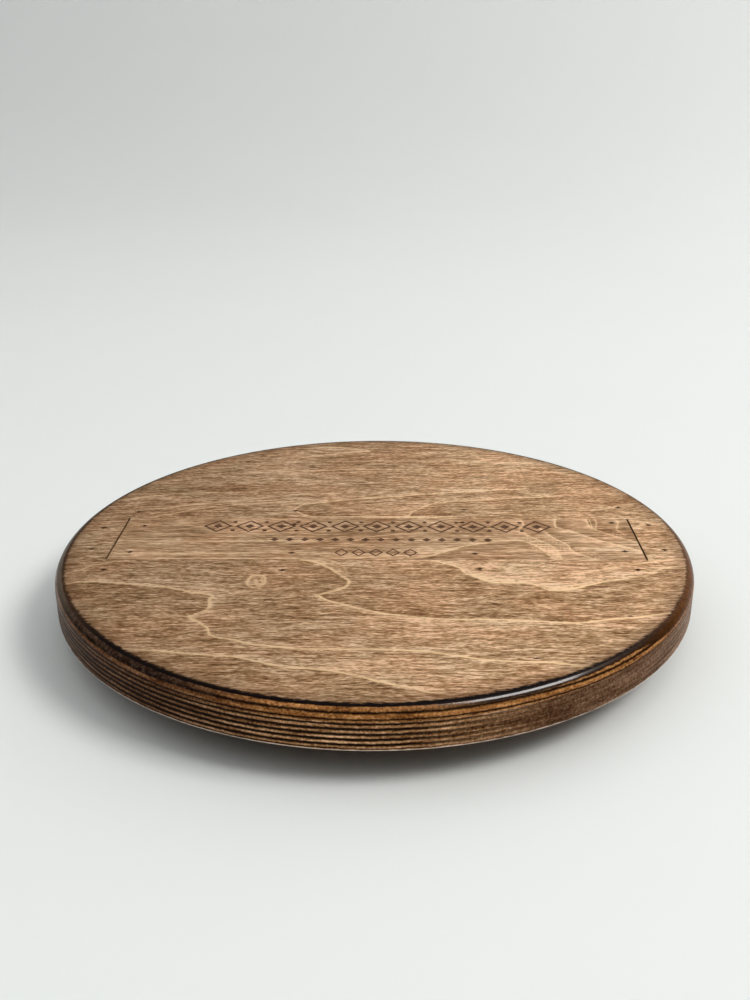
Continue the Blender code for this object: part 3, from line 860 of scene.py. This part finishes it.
def make_board(edge, veneer):
    inner = RADIUS - LOWER_ROUND
    profile = [(0.0, SEAM_LOW), (inner, SEAM_LOW), (RADIUS - 0.2 * MM, SEAM_LOW)]
    profile += edge_profile(BOTTOM + LOWER_ROUND, SEAM_LOW - 0.1 * MM)
    profile += arc(inner, BOTTOM + LOWER_ROUND, LOWER_ROUND, -12, -90, 6)
    profile += [(inner * 0.5, BOTTOM), (0.0, BOTTOM)]
    board = turned_piece("turntable_board", profile, DISC_STEPS, edge, veneer)
    veneer_flats(board)
    smooth(board)
    return finish_piece(board, "turntable", "stained_plywood", "turntable_board")


def make_nails(material):
    head, shank, crown, point = 1.4 * MM, 0.75 * MM, 0.25 * MM, 2 * MM
    dome = [(head * math.sin(a), -crown * (1 - math.cos(a))) for a in np.linspace(0, math.pi / 2, 6)]
    for name, x, y in nail_spots():
        low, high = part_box(name)
        length = high.z - low.z
        profile = [*dome, (head, -0.8 * MM), (shank, -0.85 * MM), (shank, point - length), (0.0, -length)]
        nail = turned_piece(name, profile, NAIL_STEPS, material)
        nail.location = (x, y, high.z)
        smooth(nail)
        finish_piece(nail, "turntable", "nail_steel", name)


# ---------------------------------------------------------------- burnt ornament


def add_mark(bm, outline):
    """A burnt mark: a thin flat prism from (x, y) points, anticlockwise."""
    lower = [bm.verts.new((x, y, MARK_LOW)) for x, y in outline]
    upper = [bm.verts.new((x, y, MARK_HIGH)) for x, y in outline]
    bm.faces.new(list(reversed(lower)))
    bm.faces.new(upper)
    for i in range(len(outline)):
        j = (i + 1) % len(outline)
        bm.faces.new((lower[i], lower[j], upper[j], upper[i]))


def lozenge(x, y, width, height):
    return [(x + width / 2, y), (x, y + height / 2), (x - width / 2, y), (x, y - height / 2)]


def add_lozenge_ring(bm, x, y, width, height, stroke):
    """A hollow lozenge, as four marks that meet at mitred corners."""
    outer = lozenge(x, y, width, height)
    shrink = 1 - 2 * stroke / height
    inner = lozenge(x, y, width * shrink, height * shrink)
    for i in range(4):
        j = (i + 1) % 4
        add_mark(bm, [outer[i], outer[j], inner[j], inner[i]])


def row_places(count, pitch):
    """Places along X, evenly spaced about the strip's middle."""
    return [(i - (count - 1) / 2) * pitch for i in range(count)]


def make_ornament(material):
    """Three plain rows of lozenges and dots, burnt into the strip."""

    def main_row(bm):
        pitch, y, size, stroke = 21.5 * MM, 19.0 * MM, 20 * MM, 2.2 * MM
        core, dot, rise = 7 * MM, 1.6 * MM, 7.0 * MM
        for i, x in enumerate(row_places(11, pitch)):
            add_lozenge_ring(bm, x, y, size, size, stroke)
            add_mark(bm, lozenge(x, y, core, core))
            if i:
                add_mark(bm, circle(x - pitch / 2, y + rise, dot, DOT_STEPS))
                add_mark(bm, circle(x - pitch / 2, y - rise, dot, DOT_STEPS))

    def middle_row(bm):
        for x in row_places(15, 10.0 * MM):
            add_mark(bm, lozenge(x + 3 * MM, -2.6 * MM, 6.0 * MM, 5.5 * MM))

    def lower_row(bm):
        for x in row_places(5, 11.0 * MM):
            add_lozenge_ring(bm, x, -22.5 * MM, 9.5 * MM, 11.5 * MM, 1.7 * MM)

    for name, build in (("main", main_row), ("middle", middle_row), ("lower", lower_row)):
        row = new_piece(f"burnt_row_{name}", mesh_from(f"burnt_row_{name}", build), material)
        row.location = (STRIP_CENTRE.x, STRIP_CENTRE.y, TOP)
        row.rotation_euler.z = STRIP_YAW
        finish_piece(row, "turntable", "strip_wood")


def make_flecks(material):
    """Dark flecks along the grain: torn fibres at both sides of each nail, and three spots in the panel."""
    start, end, half = NAIL_HOLE - 0.1 * MM, NAIL_HOLE + 1.3 * MM, 0.65 * MM

    def flecks(bm):
        for _, x, y in nail_spots():
            for side in (1, -1):
                root = x + side * start
                tip = x + side * end
                add_mark(bm, ((root, y - side * half), (tip, y), (root, y + side * half)))
        for x, y in FLECKS_MM:
            add_mark(bm, lozenge(x * MM, y * MM, 5.0 * MM, 1.8 * MM))

    marks = new_piece("dark_flecks", mesh_from("dark_flecks", flecks), material)
    marks.location.z = TOP
    finish_piece(marks, "turntable", "face_wood")


# ---------------------------------------------------------------- base and bearing


def make_base(edge, veneer):
    radius, height = BASE_HIGH.x, BASE_HIGH.z
    bend = 1.6 * MM
    profile = [(0.0, height), (radius * 0.5, height)]
    profile += arc(radius - bend, height - bend, bend, 90, 0, 8)
    profile += arc(radius - bend, BASE_LOW.z + bend, bend, 0, -90, 8)
    profile += [(radius * 0.5, BASE_LOW.z), (0.0, BASE_LOW.z)]
    base = turned_piece("base_board", profile, BASE_STEPS, edge, veneer)

    def access_hole(bm):
        add_cylinder(bm, ACCESS_RADIUS, 0.0, 2 * height, 0.0, ACCESS_DISTANCE, ACCESS_STEPS)

    cut(base, access_hole)
    veneer_flats(base)
    smooth(base)
    return finish_piece(base, "base", "base_plywood", "base_board")


def make_feet(material):
    feet = []
    for name in sorted(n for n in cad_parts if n.startswith("rubber_foot")):
        low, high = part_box(name)
        radius, height = (high.x - low.x) / 2, high.z - low.z
        bend, bevel, taper, dimple = 1.1 * MM, 0.3 * MM, 0.5 * MM, 0.25 * MM
        profile = [(0.0, height), (radius - bevel, height), (radius, height - bevel)]
        profile += arc(radius - taper - bend, bend, bend, 10, -90, 8)
        profile += [(radius * 0.55, 0.0), (radius * 0.5, dimple), (0.0, dimple)]
        foot = turned_piece(name, profile, FOOT_STEPS, material)
        foot.location = ((low.x + high.x) / 2, (low.y + high.y) / 2, low.z)
        smooth(foot)
        feet.append(finish_piece(foot, "base", "rubber", name))
    return feet


def make_balls(material):
    for name in sorted(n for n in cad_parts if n.startswith("ball_") and n != "ball_cage"):
        low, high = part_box(name)
        half_circle = arc(0.0, 0.0, (high.z - low.z) / 2, 90, -90, BALL_STEPS // 2)
        ball = turned_piece(name, half_circle, BALL_STEPS, material)
        ball.location = (low + high) / 2
        smooth(ball)
        finish_piece(ball, "ball_ring", "ball_steel", name)


def paint_nodes(prefix, material):
    for name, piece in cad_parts.items():
        if name.startswith(prefix):
            piece.data.materials.clear()
            piece.data.materials.append(material)


# ---------------------------------------------------------------- stage

# How bright the world looks to the camera where the floor ends
SEEN_WORLD = 0.8


def paper_material():
    """Pale paper, painted paler up the backdrop as painted light. Seen from below it is clear, so that the
    underside shows.
    """
    made, tree, shader = new_material("pale_paper", Roughness=0.75, Specular_IOR_Level=0.1)
    soft = noise(tree, stretched(tree, place(tree), 1.5, 1.5, 1.5), 3.0)
    paper = blend(tree, soft, (0.875, 0.895, 0.875), (0.91, 0.93, 0.91))
    # Painted light: the paper is paler higher up the backdrop
    rise = remap(tree, axes(tree, place(tree))["Z"], 0.1, 0.9)
    wire(tree, shader, Base_Color=blend(tree, rise, paper, (0.97, 0.98, 0.975)))
    clear = node(tree, "BsdfTransparent").outputs[0]
    below = node(tree, "NewGeometry").outputs["Backfacing"]
    either = node(tree, "MixShader", {0: below, 1: shader.outputs[0], 2: clear}).outputs[0]
    tree.links.new(either, tree.nodes["Material Output"].inputs["Surface"])
    return made


def make_stage():
    """A floor that sweeps up into the backdrop."""
    front, back, bend, height, half = -3.0, 1.9, 1.2, 4.5, 5.0
    angles = np.linspace(0, math.pi / 2, 24)
    sweep = [(back + bend * math.sin(a), bend - bend * math.cos(a)) for a in angles]
    path = [(front, 0.0), *sweep, (back + bend, height)]

    def sheet(bm):
        left = [bm.verts.new((-half, y, z)) for y, z in path]
        right = [bm.verts.new((half, y, z)) for y, z in path]
        for i in range(len(path) - 1):
            bm.faces.new((left[i], right[i], right[i + 1], left[i + 1]))

    floor = new_piece("floor", mesh_from("floor", sheet), paper_material())
    smooth(floor)


def add_light(name, direction, distance, size, energy, colour, reflected=False):
    """A softbox that faces the disc from the given direction.

    A reflected one shows only in glossy reflections, and any other never does.
    """
    light = bpy.data.lights.new(name, "AREA")
    light.shape = "RECTANGLE"
    light.size, light.size_y = size
    light.energy = energy
    light.color = colour
    lamp = bpy.data.objects.new(name, light)
    bpy.context.scene.collection.objects.link(lamp)
    aim = Vector(direction).normalized()
    lamp.location = aim * distance
    lamp.rotation_euler = aim.to_track_quat("Z", "Y").to_euler()
    lamp.visible_camera = False
    lamp.visible_glossy = reflected
    lamp.visible_diffuse = not reflected
    return lamp


def make_world():
    """A dim room, lightest overhead and darkest low in front. To the camera, it looks pale past the floor."""
    world = bpy.data.worlds.new("studio")
    world.use_nodes = True
    tree = world.node_tree
    background = tree.nodes["Background"]
    _, y, z = axes(tree, node(tree, "TexCoord").outputs["Generated"])
    height = maths(tree, "ADD", z, maths(tree, "MULTIPLY", y, 0.3))
    light = remap(tree, height, 0.05, 0.72, 0.02, 0.74)
    seen = maths(tree, "MULTIPLY", node(tree, "LightPath").outputs["Is Camera Ray"], SEEN_WORLD)
    tree.links.new(maths(tree, "MAXIMUM", light, seen), background.inputs["Strength"])
    background.inputs["Color"].default_value = (0.97, 0.99, 1.0, 1.0)
    world.cycles_visibility.glossy = False
    bpy.context.scene.world = world


def light_underside(pieces):
    """A light below the floor that reaches only the base's underside, so that it can be seen from below."""
    lit = bpy.data.collections.new("lit_from_below")
    for piece in pieces:
        lit.objects.link(piece)
    lamp = add_light("below", (0.3, -0.4, -1.0), 2.0, (1.2, 1.2), 22.0, WHITE)
    lamp.light_linking.receiver_collection = lit
    lamp.light_linking.blocker_collection = lit


def make_lights():
    make_world()
    add_light("key", (0.62, -0.20, 0.76), 4.0, (1.8, 1.3), 74.0, (1.0, 0.985, 0.96))
    add_light("back_right", (0.7, 0.75, 0.6), 3.5, (2.0, 1.6), 11.0, WHITE)
    add_light("glint", (0.39, 0.18, 0.90), 3.0, (1.0, 1.1), 215.0, (1.0, 0.98, 0.96), reflected=True)


def make_camera():
    """Stands in front of the disc and looks down at it, with a slight roll, as fitted to the photo."""
    camera = bpy.data.cameras.new("camera")
    camera.lens = 38.47
    camera.sensor_width = 36.0
    camera.clip_start = 0.01
    eye = bpy.data.objects.new("camera", camera)
    bpy.context.scene.collection.objects.link(eye)
    stand = Vector((0.003 * RADIUS, -3.156 * RADIUS, TOP + 1.419 * RADIUS))
    pitch, roll = math.radians(90 - 22.13), math.radians(-0.356)
    tilt = Matrix.Rotation(pitch, 4, "X") @ Matrix.Rotation(roll, 4, "Z")
    eye.matrix_world = Matrix.Translation(stand) @ tilt
    bpy.context.scene.camera = eye


def main():
    bpy.context.scene.view_settings.view_transform = "Standard"
    make_camera()
    make_stage()
    make_lights()
    edge = edge_material("stained_plywood", TOP, PLIES_MM, PALE_CORNER_MM)
    # Each drift scales a veneer from left to right: painted light, partly stain; the back veneer is also
    # stained darker overall
    back = veneer_material("back_veneer", 3.1, 1.0, drift=(0.2, 0.3))
    make_face_panel(face_material())
    make_strip(veneer_material("strip_wood", 1.7, 0.85, True, drift=(0.9, 1.16), shortness=0.55))
    make_board(edge, back)
    make_nails(nail_material())
    burnt = burnt_material()
    make_ornament(burnt)
    make_flecks(burnt)
    base_edge = edge_material("base_plywood", BASE_HIGH.z, BASE_PLIES_MM)
    base = make_base(base_edge, veneer_material("base_veneer", 5.3, 1.0))
    feet = make_feet(rubber_material())
    light_underside([base, *feet])
    make_balls(steel_material("ball_steel", (0.78, 0.78, 0.78), 0.08, 0.0))
    paint_nodes("bearing_", steel_material("zinc_steel", (0.62, 0.64, 0.66), 0.3, 0.5))
    screw_steel = steel_material("screw_steel", (0.55, 0.55, 0.54), 0.32, 0.1)
    paint_nodes("upper_screw", screw_steel)
    paint_nodes("lower_screw", screw_steel)
    paint_nodes("ball_cage", cage_material())


main()
